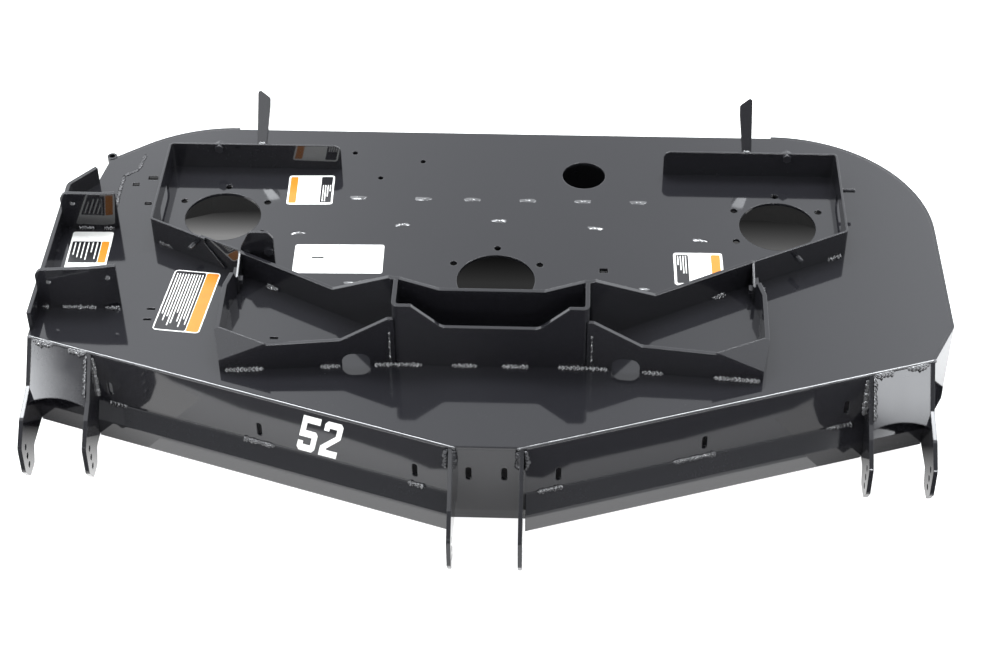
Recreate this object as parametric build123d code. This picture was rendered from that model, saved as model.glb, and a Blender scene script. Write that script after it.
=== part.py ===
"""Cutting deck shell of a ride-on mower, 52 inch cut, welded from sheet and flat bar.

Frame: millimetres, X across the deck, Y to the rear, Z up.
Origin: axis of the centre spindle hole, on the top face of the top plate.
Every node is one physical piece of the weldment or one fastener.
"""
import math
import os

from build123d import *

# sheet and bar thicknesses
SHELL_T = 4.55
BAR_T = 6.35
BOX_T = 3.42
NOSE_T = 3.42

# heights, from the top face of the top plate
SKIRT_BOTTOM = -143.0
WALL_TOP = 45.0
BOX_TOP = 112.0

# spindle holes
SPINDLE_R = 60.0
SPINDLE_XY = [(0.0, 0.0), (438.0, 144.0), (-438.0, 144.0)]
BOLT_CIRCLE_R = 76.8
BOLT_HOLE_R = 5.5

# plan of the shell
REAR_Y = 378.0
END_X = 441.5
END_Y = 140.0
END_R = 242.55
LEFT_X = -690.0
FRONT_APEX_Y = -381.5
FRONT_SLOPE = 0.3356
FRONT_FLAT_Y = -363.0
CORNER_FRONT_X = 648.5
CORNER_REAR = (685.6, -88.0)
FLARE_ANGLE = math.radians(128.0)
FLARE_LENGTH = 54.0
TUBE_XY = (-641.5, 297.0)
TUBE_R = 8.2
TUBE_BORE_R = 5.2

# front roller brackets, middle planes and ear holes
BRACKET_X = {
    "left_outer": LEFT_X + BAR_T / 2,
    "left_inner": -592.0,
    "centre_left": -50.0,
    "centre_right": 50.0,
    "right_inner": 553.0,
    "right_outer": 645.0,
}
EAR_TIP_Y = {"left": -295.0, "centre": -461.0, "right": -301.0}
EAR_HOLE_BACK = 21.0
EAR_HOLE_R = 5.0
EAR_HOLES_Z = [-108.0, -126.0, -144.0]

# slots in the front skirt
FRONT_SLOTS = [(-567.0, -64.5), (-335.0, -66.5), (-103.0, -65.0), (-25.4, -53.0),
               (25.4, -53.0), (102.0, -66.0), (312.0, -66.0), (521.6, -57.0)]
SLOT_LENGTH = 25.0
SLOT_WIDTH = 8.0

# nose strip along the lower front: reach and heights
NOSE_REACH = 22.0
NOSE_TOP = -92.0
NOSE_BEND = -112.5
NOSE_BOTTOM = -145.0

# sloped arch plates: reach and drop of the slope, and depths down it at the inner end, middle and outer end
ARCH_TOP = -2.0
ARCH_RUN = (48.0, 50.0)
ARCH_IN = 79.0
ARCH_MIDDLE = 76.5
ARCH_OUT = 92.0

# belt side
BOX_HALF = 142.0
BOX_FRONT_Y = -195.8
BOX_REAR_Y = -136.0
ARM_SLOPE = 0.555
ARM_BEND_X = 145.0
WING_END = (394.0, -216.6)
NOTCH_X = 196.0
NOTCH_HALF = 20.4
NOTCH_H = 23.5
NOTCH_R = 15.0
REAR_BOX_Y = 274.5
REAR_BOX_IN_X = 261.0
REAR_BOX_OUT_X = 537.0
REAR_BOX_FRONT_Y = 80.0
FLANGE_X = 389.0
LAP_Y = -29.0
LAP_Z = 16.0
REAR_BOLT_X = 458.0
REAR_BOLT_Z = 38.0
STUD_X = {"left": 465.0, "right": 458.0}
STUD_R = 4.2
STUD_LENGTH = 13.0
TAB_X = {"left": 381.0, "right": 386.0}
TAB_LEAN = 39.0
TAB_WIDTH = 15.0
TAB_WIDER = 5.0
TAB_LENGTH = 89.5
TAB_SLANT = 15.0
TAB_T = 8.0

# bolts and nuts
BOLT_R = 4.0
BOLT_HOLE_GAP = 0.1
NUT_GAP = 0.05
HEX_ACROSS = 13.0
HEAD_H = 5.0
NUT_H = 6.5

# discharge side
HINGE_X = -665.0
HINGE_Z = 49.3
HINGE_HOLE_R = 4.2
REAR_HINGE_Y = 108.0
FRONT_HINGE_Y = -82.6
LIP_H = 32.0

# ribs under the plate: depth and tab centres along the rib
RIB_DEPTH = 26.0
RIB_TAB = 22.0
RIB_GAP = 0.25
REAR_RIB_Y = 199.0
REAR_RIB_TABS = [-228.0, -124.0, -45.0, 44.0, 132.0, 220.0]
FRONT_RIB = [(-340.0, 101.5), (-151.0, 130.7), (0.0, 145.0), (151.0, 130.7), (340.0, 101.5)]
FRONT_RIB_TABS = [-315.0, -152.0, 0.0, 152.0, 315.0]

# larger than the deck, for blocks that only trim
FAR = 1.15 * (END_X + END_R)

os.makedirs("parts", exist_ok=True)
nodes = {}


def front_y(x):
    """Outer face of the front skirt at a given x."""
    return max(FRONT_FLAT_Y, FRONT_APEX_Y + FRONT_SLOPE * abs(x))


def poly(points):
    """Flat face from points."""
    return make_face(Polyline(*points, close=True))


def round_poly(points, rounds):
    """Flat face from points, with some corners rounded; rounds is index to radius."""
    count = len(points)
    starts = []
    ends = []
    middles = []
    for i in range(count):
        p = Vector(*points[i])
        if i not in rounds:
            starts.append(p)
            ends.append(p)
            middles.append(None)
            continue
        before = (Vector(*points[i - 1]) - p).normalized()
        after = (Vector(*points[(i + 1) % count]) - p).normalized()
        half = before.get_angle(after) * math.pi / 360.0
        reach = rounds[i] / math.tan(half)
        to_centre = (before + after).normalized()
        starts.append(p + before * reach)
        ends.append(p + after * reach)
        middles.append(p + to_centre * (rounds[i] / math.sin(half) - rounds[i]))
    edges = []
    for i in range(count):
        if middles[i] is not None:
            edges.append(ThreePointArc(starts[i], middles[i], ends[i]))
        edges.append(Line(ends[i], starts[(i + 1) % count]))
    return make_face(edges)


def prism(points, z0, z1):
    """Upright prism on plan points."""
    return extrude(Plane.XY.offset(z0) * poly(points), z1 - z0)


def side_prism(face, y0, y1):
    """Prism along Y on a face drawn as x, z."""
    return extrude(Plane.XZ.offset(-y0) * face, -(y1 - y0))


def cross_prism(face, x0, x1):
    """Prism along X on a face drawn as y, z."""
    return extrude(Plane.YZ.offset(x0) * face, x1 - x0)


def bent(points, radius, thickness, z0, z1):
    """Sheet of one thickness bent along a plan centreline."""
    line = FilletPolyline(*points, radius=radius)
    face = trace(line.edges(), thickness)
    return extrude(Plane.XY.offset(z0) * face, z1 - z0)


def upright(p0, p1, face, thickness):
    """Flat plate standing on the line p0 to p1, front face on that line.

    The face is drawn as distance along the line and z.
    The thickness lies to the left of the direction of travel.
    """
    ux, uy = p1[0] - p0[0], p1[1] - p0[1]
    length = math.hypot(ux, uy)
    ux, uy = ux / length, uy / length
    plane = Plane(origin=(p0[0], p0[1], 0.0), x_dir=(ux, uy, 0.0), z_dir=(uy, -ux, 0.0))
    return extrude(plane * face, -thickness)


def rod(p0, direction, radius, length):
    """Round bar from a point along a direction."""
    return extrude(Plane(origin=p0, z_dir=direction) * Circle(radius), length)


def hexagon(p0, direction, across, length):
    """Six-sided bar from a point along a direction."""
    return extrude(Plane(origin=p0, z_dir=direction) * RegularPolygon(across / math.sqrt(3.0), 6), length)


def mirrored(shape):
    """Same piece on the other side of the deck."""
    return mirror(shape, about=Plane.YZ)


def arc_point(cx, angle, radius):
    """Point on a rolled end of the shell."""
    return (cx + radius * math.cos(angle), END_Y + radius * math.sin(angle))


def step_along(p, direction, distance):
    """Point moved along a plan direction."""
    return (p[0] + distance * direction[0], p[1] + distance * direction[1])


def biggest(shape):
    """Largest solid of a cut result."""
    return max(shape.solids(), key=lambda s: s.volume)


# right end skirt: rolled end, side and front corner in one strip, around the plate edge
mid_r = END_R - SHELL_T / 2
in_r = END_R - SHELL_T
corner_front = (CORNER_FRONT_X, front_y(CORNER_FRONT_X))
corner_dir = Vector(corner_front[0] - CORNER_REAR[0], corner_front[1] - CORNER_REAR[1]).normalized()
corner_in = Vector(corner_dir.Y, -corner_dir.X)
right_mid = [
    (END_X + mid_r, END_Y),
    (CORNER_REAR[0] - SHELL_T / 2, CORNER_REAR[1] + 0.6),
    (corner_front[0] + corner_in.X * SHELL_T / 2, corner_front[1] + corner_in.Y * SHELL_T / 2),
]
right_arc = ThreePointArc((END_X, END_Y + mid_r), arc_point(END_X, math.radians(45.0), mid_r), right_mid[0])
right_line = FilletPolyline(*right_mid, radius=9.0)
right_face = trace(right_arc.edges() + right_line.edges(), SHELL_T)
right_end_skirt = extrude(Plane.XY.offset(SKIRT_BOTTOM) * right_face, -SKIRT_BOTTOM)
nodes["right_end_skirt"] = right_end_skirt

# edge tube and left rear skirt, rolled and then straight to the discharge opening
flare_dir = (-math.sin(FLARE_ANGLE), math.cos(FLARE_ANGLE))
tube_solid = rod((TUBE_XY[0], TUBE_XY[1], SKIRT_BOTTOM), (0, 0, 1), TUBE_R, 1.0 - SKIRT_BOTTOM)
tube_bore = rod((TUBE_XY[0], TUBE_XY[1], SKIRT_BOTTOM), (0, 0, 1), TUBE_BORE_R, 1.0 - SKIRT_BOTTOM)
nodes["discharge_edge_tube"] = tube_solid - tube_bore
flare_mid = arc_point(-END_X, FLARE_ANGLE, mid_r)
left_arc = ThreePointArc((-END_X, END_Y + mid_r), arc_point(-END_X, math.radians(109.0), mid_r), flare_mid)
left_line = Line(flare_mid, step_along(flare_mid, flare_dir, FLARE_LENGTH + 8.0))
left_face = trace(left_arc.edges() + left_line.edges(), SHELL_T)
left_rear_skirt = extrude(Plane.XY.offset(SKIRT_BOTTOM) * left_face, -SKIRT_BOTTOM)
nodes["left_rear_skirt"] = biggest(left_rear_skirt - tube_solid)

# rear skirt, under the plate and lapped inside the two rolled ends
rear_skirt = Pos(0, REAR_Y - SHELL_T / 2, (SKIRT_BOTTOM - SHELL_T) / 2) * Box(
    2 * END_X + 24.0, SHELL_T, -SHELL_T - SKIRT_BOTTOM)
nodes["rear_skirt"] = biggest(rear_skirt - right_end_skirt - left_rear_skirt)

# front skirt, bent to a middle flat and two slopes, under the plate
flat_x = (FRONT_FLAT_Y - FRONT_APEX_Y) / FRONT_SLOPE
wall_u = Vector(1.0, FRONT_SLOPE, 0.0).normalized()
wall_n = Vector(wall_u.Y, -wall_u.X, 0.0)
drop = SHELL_T / 2 / wall_u.X
skirt_line = [
    (LEFT_X, FRONT_APEX_Y - FRONT_SLOPE * LEFT_X + drop),
    (-flat_x + 0.4, FRONT_FLAT_Y + SHELL_T / 2),
    (flat_x - 0.4, FRONT_FLAT_Y + SHELL_T / 2),
    (CORNER_FRONT_X - 1.5, front_y(CORNER_FRONT_X - 1.5) + drop),
]
front_skirt = bent(skirt_line, 9.0, SHELL_T, SKIRT_BOTTOM, -SHELL_T)
front_skirt -= right_end_skirt
for x, z in FRONT_SLOTS:
    turn = 0.0 if abs(x) < flat_x else math.copysign(math.degrees(math.atan(FRONT_SLOPE)), x)
    slot = Pos(x, front_y(x), z) * Rot(0, 0, turn) * Rot(90, 0, 0) * extrude(
        SlotOverall(SLOT_LENGTH, SLOT_WIDTH, rotation=90), 10.0, both=True)
    front_skirt -= slot
front_skirt = biggest(front_skirt)
nodes["front_skirt"] = front_skirt

# top plate
side_in = (CORNER_REAR[0] - SHELL_T, CORNER_REAR[1] + 1.2)
corner_in_front = (corner_front[0] + corner_in.X * SHELL_T, corner_front[1] + corner_in.Y * SHELL_T)
flare_in = arc_point(-END_X, FLARE_ANGLE, in_r)
flare_out = step_along(flare_in, flare_dir, FLARE_LENGTH + 2.0)
plate_edges = [
    Line((-END_X, REAR_Y), (END_X, REAR_Y)),
    ThreePointArc((END_X, REAR_Y), arc_point(END_X, math.radians(45.0), in_r), (END_X + in_r, END_Y)),
    Line((END_X + in_r, END_Y), side_in),
    Line(side_in, corner_in_front),
    Line(corner_in_front, (corner_in_front[0], front_y(corner_in_front[0]))),
    Line((corner_in_front[0], front_y(corner_in_front[0])), (flat_x, FRONT_FLAT_Y)),
    Line((flat_x, FRONT_FLAT_Y), (-flat_x, FRONT_FLAT_Y)),
    Line((-flat_x, FRONT_FLAT_Y), (LEFT_X, front_y(LEFT_X))),
    Line((LEFT_X, front_y(LEFT_X)), (LEFT_X, 181.0)),
    Line((LEFT_X, 181.0), (-652.6, 227.0)),
    Line((-652.6, 227.0), (-642.0, 292.0)),
    Line((-642.0, 292.0), flare_out),
    Line(flare_out, flare_in),
    ThreePointArc(flare_in, arc_point(-END_X, math.radians(109.0), in_r), (-END_X, REAR_Y)),
]
plate = extrude(Plane.XY.offset(-SHELL_T) * make_face(plate_edges), SHELL_T)
front_edges = plate.edges().filter_by_position(Axis.Z, -0.01, 0.01).filter_by(
    lambda e: e.center().Y < -160.0 and e.length > 60.0)
plate = fillet(front_edges, 2.4)
plate = plate - right_end_skirt - left_rear_skirt - tube_solid
cutters = []
for cx, cy in SPINDLE_XY:
    cutters.append(Pos(cx, cy) * Circle(SPINDLE_R))
    for k in range(6):
        angle = math.radians(30.0 + 60.0 * k)
        bolt_x = cx + BOLT_CIRCLE_R * math.cos(angle)
        bolt_y = cy + BOLT_CIRCLE_R * math.sin(angle)
        cutters.append(Pos(bolt_x, bolt_y) * Circle(BOLT_HOLE_R))
cutters.append(Pos(132.9, 267.5) * Circle(34.6))
for hx, hy in [(-243.0, 318.0), (-130.0, 297.6), (-196.0, 251.6)]:
    cutters.append(Pos(hx, hy) * Circle(4.5))
cutters.append(Pos(164.8, 27.4) * Rectangle(13.0, 10.4))
for sx, sy, lx, ly in [(-564.5, 240.8, 16.0, 10.0), (-561.8, 173.6, 11.0, 8.0), (-589.6, 223.0, 11.0, 8.0),
                       (-323.3, -143.0, 12.0, 4.6), (-516.0, -83.0, 12.0, 4.6), (-518.0, -107.0, 12.0, 4.6)]:
    cutters.append(Pos(sx, sy) * Rectangle(lx, ly))
for x in REAR_RIB_TABS:
    cutters.append(Pos(x, REAR_RIB_Y) * Rectangle(RIB_TAB + 2 * RIB_GAP, SHELL_T + 2 * RIB_GAP))


def rib_point(x):
    """Middle of the front rib at a given x, with its turn in degrees."""
    for (x0, y0), (x1, y1) in zip(FRONT_RIB, FRONT_RIB[1:]):
        if x0 <= x <= x1:
            y = y0 + (y1 - y0) * (x - x0) / (x1 - x0)
            turn = math.degrees(math.atan2(y1 - y0, x1 - x0))
            return y, turn
    return FRONT_RIB[-1][1], 0.0


for x in FRONT_RIB_TABS:
    y, turn = rib_point(x)
    if x == 0.0:
        turn = 0.0
    slot = Rectangle(RIB_TAB + 2 * RIB_GAP, SHELL_T + 2 * RIB_GAP + 0.6)
    cutters.append(Pos(x, y) * Rot(0, 0, turn) * slot)
for cutter in cutters:
    plate -= extrude(Plane.XY.offset(-SHELL_T - 1.0) * cutter, SHELL_T + 2.0)
seam = [(-587.0, 304.0), (-592.0, 262.0), (-612.5, 246.0), (-613.5, 238.0), (-611.0, 120.0)]
seam_face = trace(Polyline(*seam).edges(), 3.0)
plate -= extrude(Plane.XY.offset(-1.4) * seam_face, 3.0)
nodes["top_plate"] = biggest(plate)

# ribs under the plate, with tabs standing up into the plate slots
rib_top = -SHELL_T
rear_rib = Pos(-4.0, REAR_RIB_Y, rib_top - RIB_DEPTH / 2) * Box(500.0, SHELL_T, RIB_DEPTH)
for x in REAR_RIB_TABS:
    rear_rib += Pos(x, REAR_RIB_Y, rib_top + (SHELL_T - 0.5) / 2) * Box(RIB_TAB, SHELL_T, SHELL_T - 0.5)
nodes["rear_rib"] = rear_rib
front_rib = bent(FRONT_RIB, 30.0, SHELL_T, rib_top - RIB_DEPTH, rib_top)
for x in FRONT_RIB_TABS:
    y, turn = rib_point(x)
    if x == 0.0:
        turn = 0.0
        y -= 0.02
    tab_box = Box(RIB_TAB, SHELL_T - 0.6, SHELL_T - 0.5)
    front_rib += Pos(x, y, rib_top + (SHELL_T - 0.5) / 2) * Rot(0, 0, turn) * tab_box
nodes["front_rib"] = front_rib

# everything behind the outer face of the front skirt, used to trim what butts against it
shell_block = prism([
    (-FAR, front_y(FAR)), (-flat_x, FRONT_FLAT_Y), (flat_x, FRONT_FLAT_Y),
    (FAR, front_y(FAR)), (FAR, FAR), (-FAR, FAR)], 2 * SKIRT_BOTTOM, -SKIRT_BOTTOM)


def wall_section(face, x0, x1):
    """Strip along the right front slope on a section drawn as reach and z, cut at two x planes."""
    plane = Plane(origin=(0.0, FRONT_APEX_Y, 0.0), x_dir=wall_n, z_dir=-wall_u)
    strip = extrude(plane * face, -FAR)
    gate = Pos((x0 + x1) / 2, 0.0, 0.0) * Box(x1 - x0, 2 * FAR, 2 * FAR)
    return strip & gate


def bracket_face(side):
    """Inside face positions of a bracket plate."""
    return BRACKET_X[side] - BAR_T / 2, BRACKET_X[side] + BAR_T / 2


# nose strips
nose = poly([
    (0.0, NOSE_TOP), (NOSE_REACH, NOSE_BEND), (NOSE_REACH, NOSE_BOTTOM),
    (NOSE_REACH - NOSE_T, NOSE_BOTTOM), (NOSE_REACH - NOSE_T, NOSE_BEND - 1.5), (0.0, NOSE_TOP - 5.2)])
nodes["right_nose_strip"] = wall_section(
    nose, bracket_face("centre_right")[1] + 2.4, bracket_face("right_inner")[0])
nodes["right_nose_end"] = wall_section(nose, bracket_face("right_inner")[1], bracket_face("right_outer")[0])
nodes["left_nose_strip"] = mirrored(
    wall_section(nose, -bracket_face("centre_left")[0] + 2.4, -bracket_face("left_inner")[1]))
nodes["left_nose_end"] = mirrored(
    wall_section(nose, -bracket_face("left_inner")[0], -bracket_face("left_outer")[1]))

# roller brackets
for side, x in BRACKET_X.items():
    wall_y = front_y(x)
    tip = EAR_TIP_Y[side.split("_")[0]]
    reach = 42.0 if side.startswith("centre") else 50.0
    profile = [
        (wall_y + 14.0, -1.0), (wall_y, -1.0), (wall_y - reach, -1.0 - 1.04 * reach),
        (tip + 36.0, -66.0), (tip + 2.0, -94.0), (tip, -140.0), (tip + 17.0, -165.0), (tip + 46.0, -165.0),
        (tip + 60.0, -141.0), (wall_y + 14.0, -141.0)]
    face = round_poly(profile, {3: 12.0, 4: 12.0, 5: 10.0, 6: 9.0, 7: 9.0, 8: 8.0})
    body = cross_prism(face, *bracket_face(side))
    for z in EAR_HOLES_Z:
        body -= rod((x - BAR_T, tip + EAR_HOLE_BACK, z), (1, 0, 0), EAR_HOLE_R, 2 * BAR_T)
    nodes["roller_bracket_" + side] = biggest(body - shell_block)

# sloped arch plates between the outer pairs
grade = math.hypot(*ARCH_RUN)
slope_u = (ARCH_RUN[0] / grade, -ARCH_RUN[1] / grade)
slope_n = (-slope_u[1], slope_u[0])
long_reach = 1.5 * ARCH_OUT
arch_low = (slope_u[0] * long_reach, ARCH_TOP + slope_u[1] * long_reach)
arch = poly([
    (0.0, ARCH_TOP), arch_low, (arch_low[0] - SHELL_T * slope_n[0], arch_low[1] - SHELL_T * slope_n[1]),
    (0.0, ARCH_TOP - SHELL_T / slope_n[1])])


def arch_plate(x0, x1):
    """Sloped plate between two bracket faces on the right front slope, arched along its lower edge."""
    strip = wall_section(arch, x0, x1)
    down = wall_n * slope_u[0] + Vector(0.0, 0.0, slope_u[1])
    out = wall_n * slope_n[0] + Vector(0.0, 0.0, slope_n[1])
    edge = []
    for x, depth in [(x0, ARCH_IN), ((x0 + x1) / 2, ARCH_MIDDLE), (x1, ARCH_OUT)]:
        edge.append(Vector((x - down.X * depth) / wall_u.X, -depth))
    low = -2 * long_reach
    waste = make_face([
        ThreePointArc(*edge), Line(edge[2], (edge[2].X, low)),
        Line((edge[2].X, low), (edge[0].X, low)), Line((edge[0].X, low), edge[0])])
    side = (edge[2] - edge[0]).X
    waste += poly([edge[0], (edge[0].X, low), (edge[0].X - side, low), (edge[0].X - side, -ARCH_IN)])
    waste += poly([edge[2], (edge[2].X, low), (edge[2].X + side, low), (edge[2].X + side, -ARCH_OUT)])
    plane = Plane(origin=Vector(0.0, FRONT_APEX_Y, ARCH_TOP), x_dir=wall_u, z_dir=out)
    return biggest(strip - extrude(plane * waste, 4 * SHELL_T, both=True))


nodes["right_arch_plate"] = arch_plate(bracket_face("right_inner")[1], bracket_face("right_outer")[0])
nodes["left_arch_plate"] = mirrored(
    arch_plate(-bracket_face("left_inner")[0], -bracket_face("left_outer")[1]))

# right rear box: rear wall, side wall, slanting front wall and forward flange in one strip
wall_dir = Vector(FLANGE_X - REAR_BOX_OUT_X, 1.5 - REAR_BOX_FRONT_Y, 0.0).normalized()
rear_mid_y = REAR_BOX_Y + BOX_T / 2
flange_end_y = -43.0
right_box = bent([
    (REAR_BOX_IN_X, rear_mid_y), (REAR_BOX_OUT_X, rear_mid_y), (REAR_BOX_OUT_X, REAR_BOX_FRONT_Y),
    (FLANGE_X, 1.5), (FLANGE_X, flange_end_y)], 6.0, BOX_T, 0.0, WALL_TOP)
window = cross_prism(
    round_poly([(136.0, -5.0), (214.0, -5.0), (214.0, 17.0), (136.0, 17.0)], {2: 9.0, 3: 9.0}),
    REAR_BOX_OUT_X - 4 * BOX_T, REAR_BOX_OUT_X + 4 * BOX_T)
corner_cut = side_prism(
    poly([(REAR_BOX_IN_X - 6.0, WALL_TOP + 1), (REAR_BOX_IN_X - 6.0, WALL_TOP - 10.0),
          (REAR_BOX_IN_X, WALL_TOP - 10.0), (REAR_BOX_IN_X + 3.0, WALL_TOP - 3.4),
          (REAR_BOX_IN_X + 10.0, WALL_TOP), (REAR_BOX_IN_X + 10.0, WALL_TOP + 1)]),
    REAR_BOX_Y - 4 * BOX_T, REAR_BOX_Y + 4 * BOX_T)
flange_cut = cross_prism(poly([(2.0, WALL_TOP + 1), (2.0, WALL_TOP), (flange_end_y - 1, 32.0),
                               (flange_end_y - 1, WALL_TOP + 1)]), FLANGE_X - 2.5, FLANGE_X + 2.5)
hole_r = BOLT_R + BOLT_HOLE_GAP
bolt_hole = rod((REAR_BOLT_X, REAR_BOX_Y - 4 * BOX_T, REAR_BOLT_Z), (0, 1, 0), hole_r, 10 * BOX_T)
lap_hole = rod((FLANGE_X - 4 * BOX_T, LAP_Y, LAP_Z), (1, 0, 0), hole_r, 8 * BOX_T + 2 * BAR_T)
right_rear_box = right_box - window - corner_cut - flange_cut - bolt_hole - lap_hole
nodes["right_rear_box"] = right_rear_box

# left rear box: same strip, its front wall ending in a slope
left_end_x = 417.0
left_end_y = REAR_BOX_FRONT_Y + (REAR_BOX_OUT_X - left_end_x) * wall_dir.Y / -wall_dir.X
left_box = bent([
    (REAR_BOX_IN_X, rear_mid_y), (REAR_BOX_OUT_X, rear_mid_y), (REAR_BOX_OUT_X, REAR_BOX_FRONT_Y),
    (left_end_x, left_end_y)], 6.0, BOX_T, 0.0, WALL_TOP)
end_slope = side_prism(poly([(447.0, WALL_TOP + 1), (447.0, 36.0), (418.0, 2.0), (400.0, 2.0),
                             (400.0, WALL_TOP + 1)]), -20.0, 60.0)
nodes["left_rear_box"] = mirrored(biggest(left_box - window - corner_cut - end_slope - bolt_hole))

# link plate lapped behind the left front wall, with the forward flange
behind = Vector(-wall_dir.Y, wall_dir.X, 0.0)
if behind.Y < 0:
    behind = -behind
link_start_x = 456.0
link_a = (link_start_x, REAR_BOX_FRONT_Y + (REAR_BOX_OUT_X - link_start_x) * wall_dir.Y / -wall_dir.X)
link_b = (FLANGE_X, 1.5)
link = bent([
    (link_a[0] + behind.X * BOX_T, link_a[1] + behind.Y * BOX_T),
    (link_b[0], link_b[1] + BOX_T / abs(wall_dir.X)), (FLANGE_X, flange_end_y)], 6.0, BOX_T, 0.0, WALL_TOP)
left_link_plate = link - flange_cut - lap_hole
nodes["left_link_plate"] = mirrored(left_link_plate)

# long rear plate of the centre box with its two arms
half_t = BAR_T / 2
arm_u = Vector(1.0, ARM_SLOPE, 0.0).normalized()
arm_shift = half_t * (1.0 - arm_u.X) / arm_u.Y
arm_start = (ARM_BEND_X + arm_shift * -1.0, BOX_REAR_Y + half_t)
arm_end_x = FLANGE_X - 0.8
arm_end = (arm_end_x, arm_start[1] + ARM_SLOPE * (arm_end_x - arm_start[0]))
arm_plate = bent([(-arm_end[0], arm_end[1]), (-arm_start[0], arm_start[1]), arm_start, arm_end],
                 9.0, BAR_T, 0.0, BOX_TOP)
arm_over = poly([
    (-420.0, WALL_TOP), (-240.0, WALL_TOP), (-150.0, BOX_TOP), (-134.0, BOX_TOP), (-77.0, 92.6),
    (77.0, 92.6), (134.0, BOX_TOP), (150.0, BOX_TOP), (240.0, WALL_TOP), (420.0, WALL_TOP),
    (420.0, BOX_TOP + 20.0), (-420.0, BOX_TOP + 20.0)])
arm_plate -= side_prism(arm_over, -170.0, 60.0)
arm_plate = arm_plate - right_rear_box - mirrored(left_link_plate)
nodes["box_rear_plate"] = biggest(arm_plate)

# centre box front, bent to a U, butting against the rear plate
u_in = BOX_HALF - half_t
box_front = bent([(-u_in, BOX_REAR_Y), (-u_in, BOX_FRONT_Y + half_t), (u_in, BOX_FRONT_Y + half_t),
                  (u_in, BOX_REAR_Y)], 7.0, BAR_T, 0.0, BOX_TOP)
dip = round_poly([(-120.0, BOX_TOP + 20.0), (-114.0, BOX_TOP), (-70.0, 73.0), (70.0, 73.0), (114.0, BOX_TOP),
                  (120.0, BOX_TOP + 20.0)], {1: 14.0, 2: 14.0, 3: 14.0, 4: 14.0})
box_front -= side_prism(dip, BOX_FRONT_Y - 5.0, BOX_FRONT_Y + 12.0)
nodes["box_front"] = box_front

# wing front plates, end plates and corner gussets; drawn on the right, mirrored for the left
wing_start = (139.0, BOX_FRONT_Y + 0.2)
wing_len = math.hypot(WING_END[0] - wing_start[0], WING_END[1] - wing_start[1])
scale = wing_len / (WING_END[0] - wing_start[0])


def along(x):
    """Distance along the wing plate at a given x."""
    return (x - wing_start[0]) * scale


notch_in = along(NOTCH_X - NOTCH_HALF)
notch_out = along(NOTCH_X + NOTCH_HALF)
wing_face = round_poly([
    (0.0, 0.0), (notch_in, 0.0), (notch_in, NOTCH_H), (notch_out, NOTCH_H), (notch_out, 0.0),
    (wing_len, 0.0), (wing_len, 16.0), (along(326.0), 45.0), (along(217.0), 49.0), (along(148.0), 87.0),
    (0.0, 87.0)], {2: NOTCH_R, 3: NOTCH_R, 8: 12.0})
wing = upright(wing_start, WING_END, wing_face, BAR_T) - box_front

end_mid_x = FLANGE_X + BOX_T / 2 + half_t
end_plate = bent([(end_mid_x, -14.0), (end_mid_x, -45.0), (401.5, -76.0), (400.0, -178.0), (391.0, -214.0)],
                 8.0, BAR_T, 0.0, WALL_TOP)
end_over = poly([(0.0, WALL_TOP + 30), (0.0, 28.0), (-40.0, 28.0), (-48.0, WALL_TOP), (-178.0, WALL_TOP),
                 (-215.0, 16.0), (-240.0, 16.0), (-240.0, WALL_TOP + 30)])
end_plate = end_plate - cross_prism(end_over, 370.0, 420.0) - wing - lap_hole

gusset_k = Vector(326.0, -211.0, 44.6)
gusset_c = Vector(399.0, -178.0, 44.6)
gusset_d = Vector(393.0, -216.5, 16.0)
gusset_up = (gusset_k - gusset_d).cross(gusset_c - gusset_d).normalized()
if gusset_up.Z < 0:
    gusset_up = -gusset_up
gusset_plane = Plane(origin=gusset_d, x_dir=(gusset_k - gusset_d), z_dir=gusset_up)
above = extrude(gusset_plane * Rectangle(400.0, 400.0), 120.0)
slab = extrude(gusset_plane * Rectangle(400.0, 400.0), 3.0)
foot_big = prism([(318.0, -235.0), (412.0, -235.0), (412.0, -172.0), (318.0, -172.0)], 0.0, 90.0)
foot = prism([(324.0, -210.85), (WING_END[0], -216.6), (394.6, -213.0), (403.2, -178.0), (397.0, -176.5)],
             0.0, 90.0)
trim = foot_big & above
wing = biggest(wing - trim)
end_plate = biggest(end_plate - trim)
gusset = biggest(foot & slab)
for label, shape in [("wing_front", wing), ("end_plate", end_plate), ("corner_gusset", gusset)]:
    nodes["right_" + label] = shape
    nodes["left_" + label] = mirrored(shape)

# anchor plate behind the left arm
anchor_face = round_poly([(0.0, 0.0), (51.0, 0.0), (51.0, 64.0), (43.0, 75.0), (15.0, 75.0), (0.0, 45.0)],
                         {3: 6.0, 4: 6.0})
anchor = upright((-389.0, 11.0), (-338.0, 11.0), anchor_face, SHELL_T)
anchor_bolts = [(-381.0, 36.0), (-346.0, 41.0)]
for bx, bz in anchor_bolts:
    anchor -= rod((bx, 0.0, bz), (0, 1, 0), hole_r, 30.0)
nodes["anchor_plate"] = anchor

# lift tabs, bent bar: foot up the back of the rear box wall, upper leg leaning back, wider at its slanted top
tab_lean = math.radians(TAB_LEAN)
tab_back_y = REAR_BOX_Y + BOX_T + 0.05
tab_face = round_poly([
    (0.0, 0.0), (TAB_WIDTH, 0.0), (TAB_WIDTH, TAB_LENGTH), (-TAB_WIDER, TAB_LENGTH - TAB_SLANT),
    (-TAB_WIDER, TAB_LENGTH - 2 * TAB_SLANT)], {2: 4.0, 3: 4.0})


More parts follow.
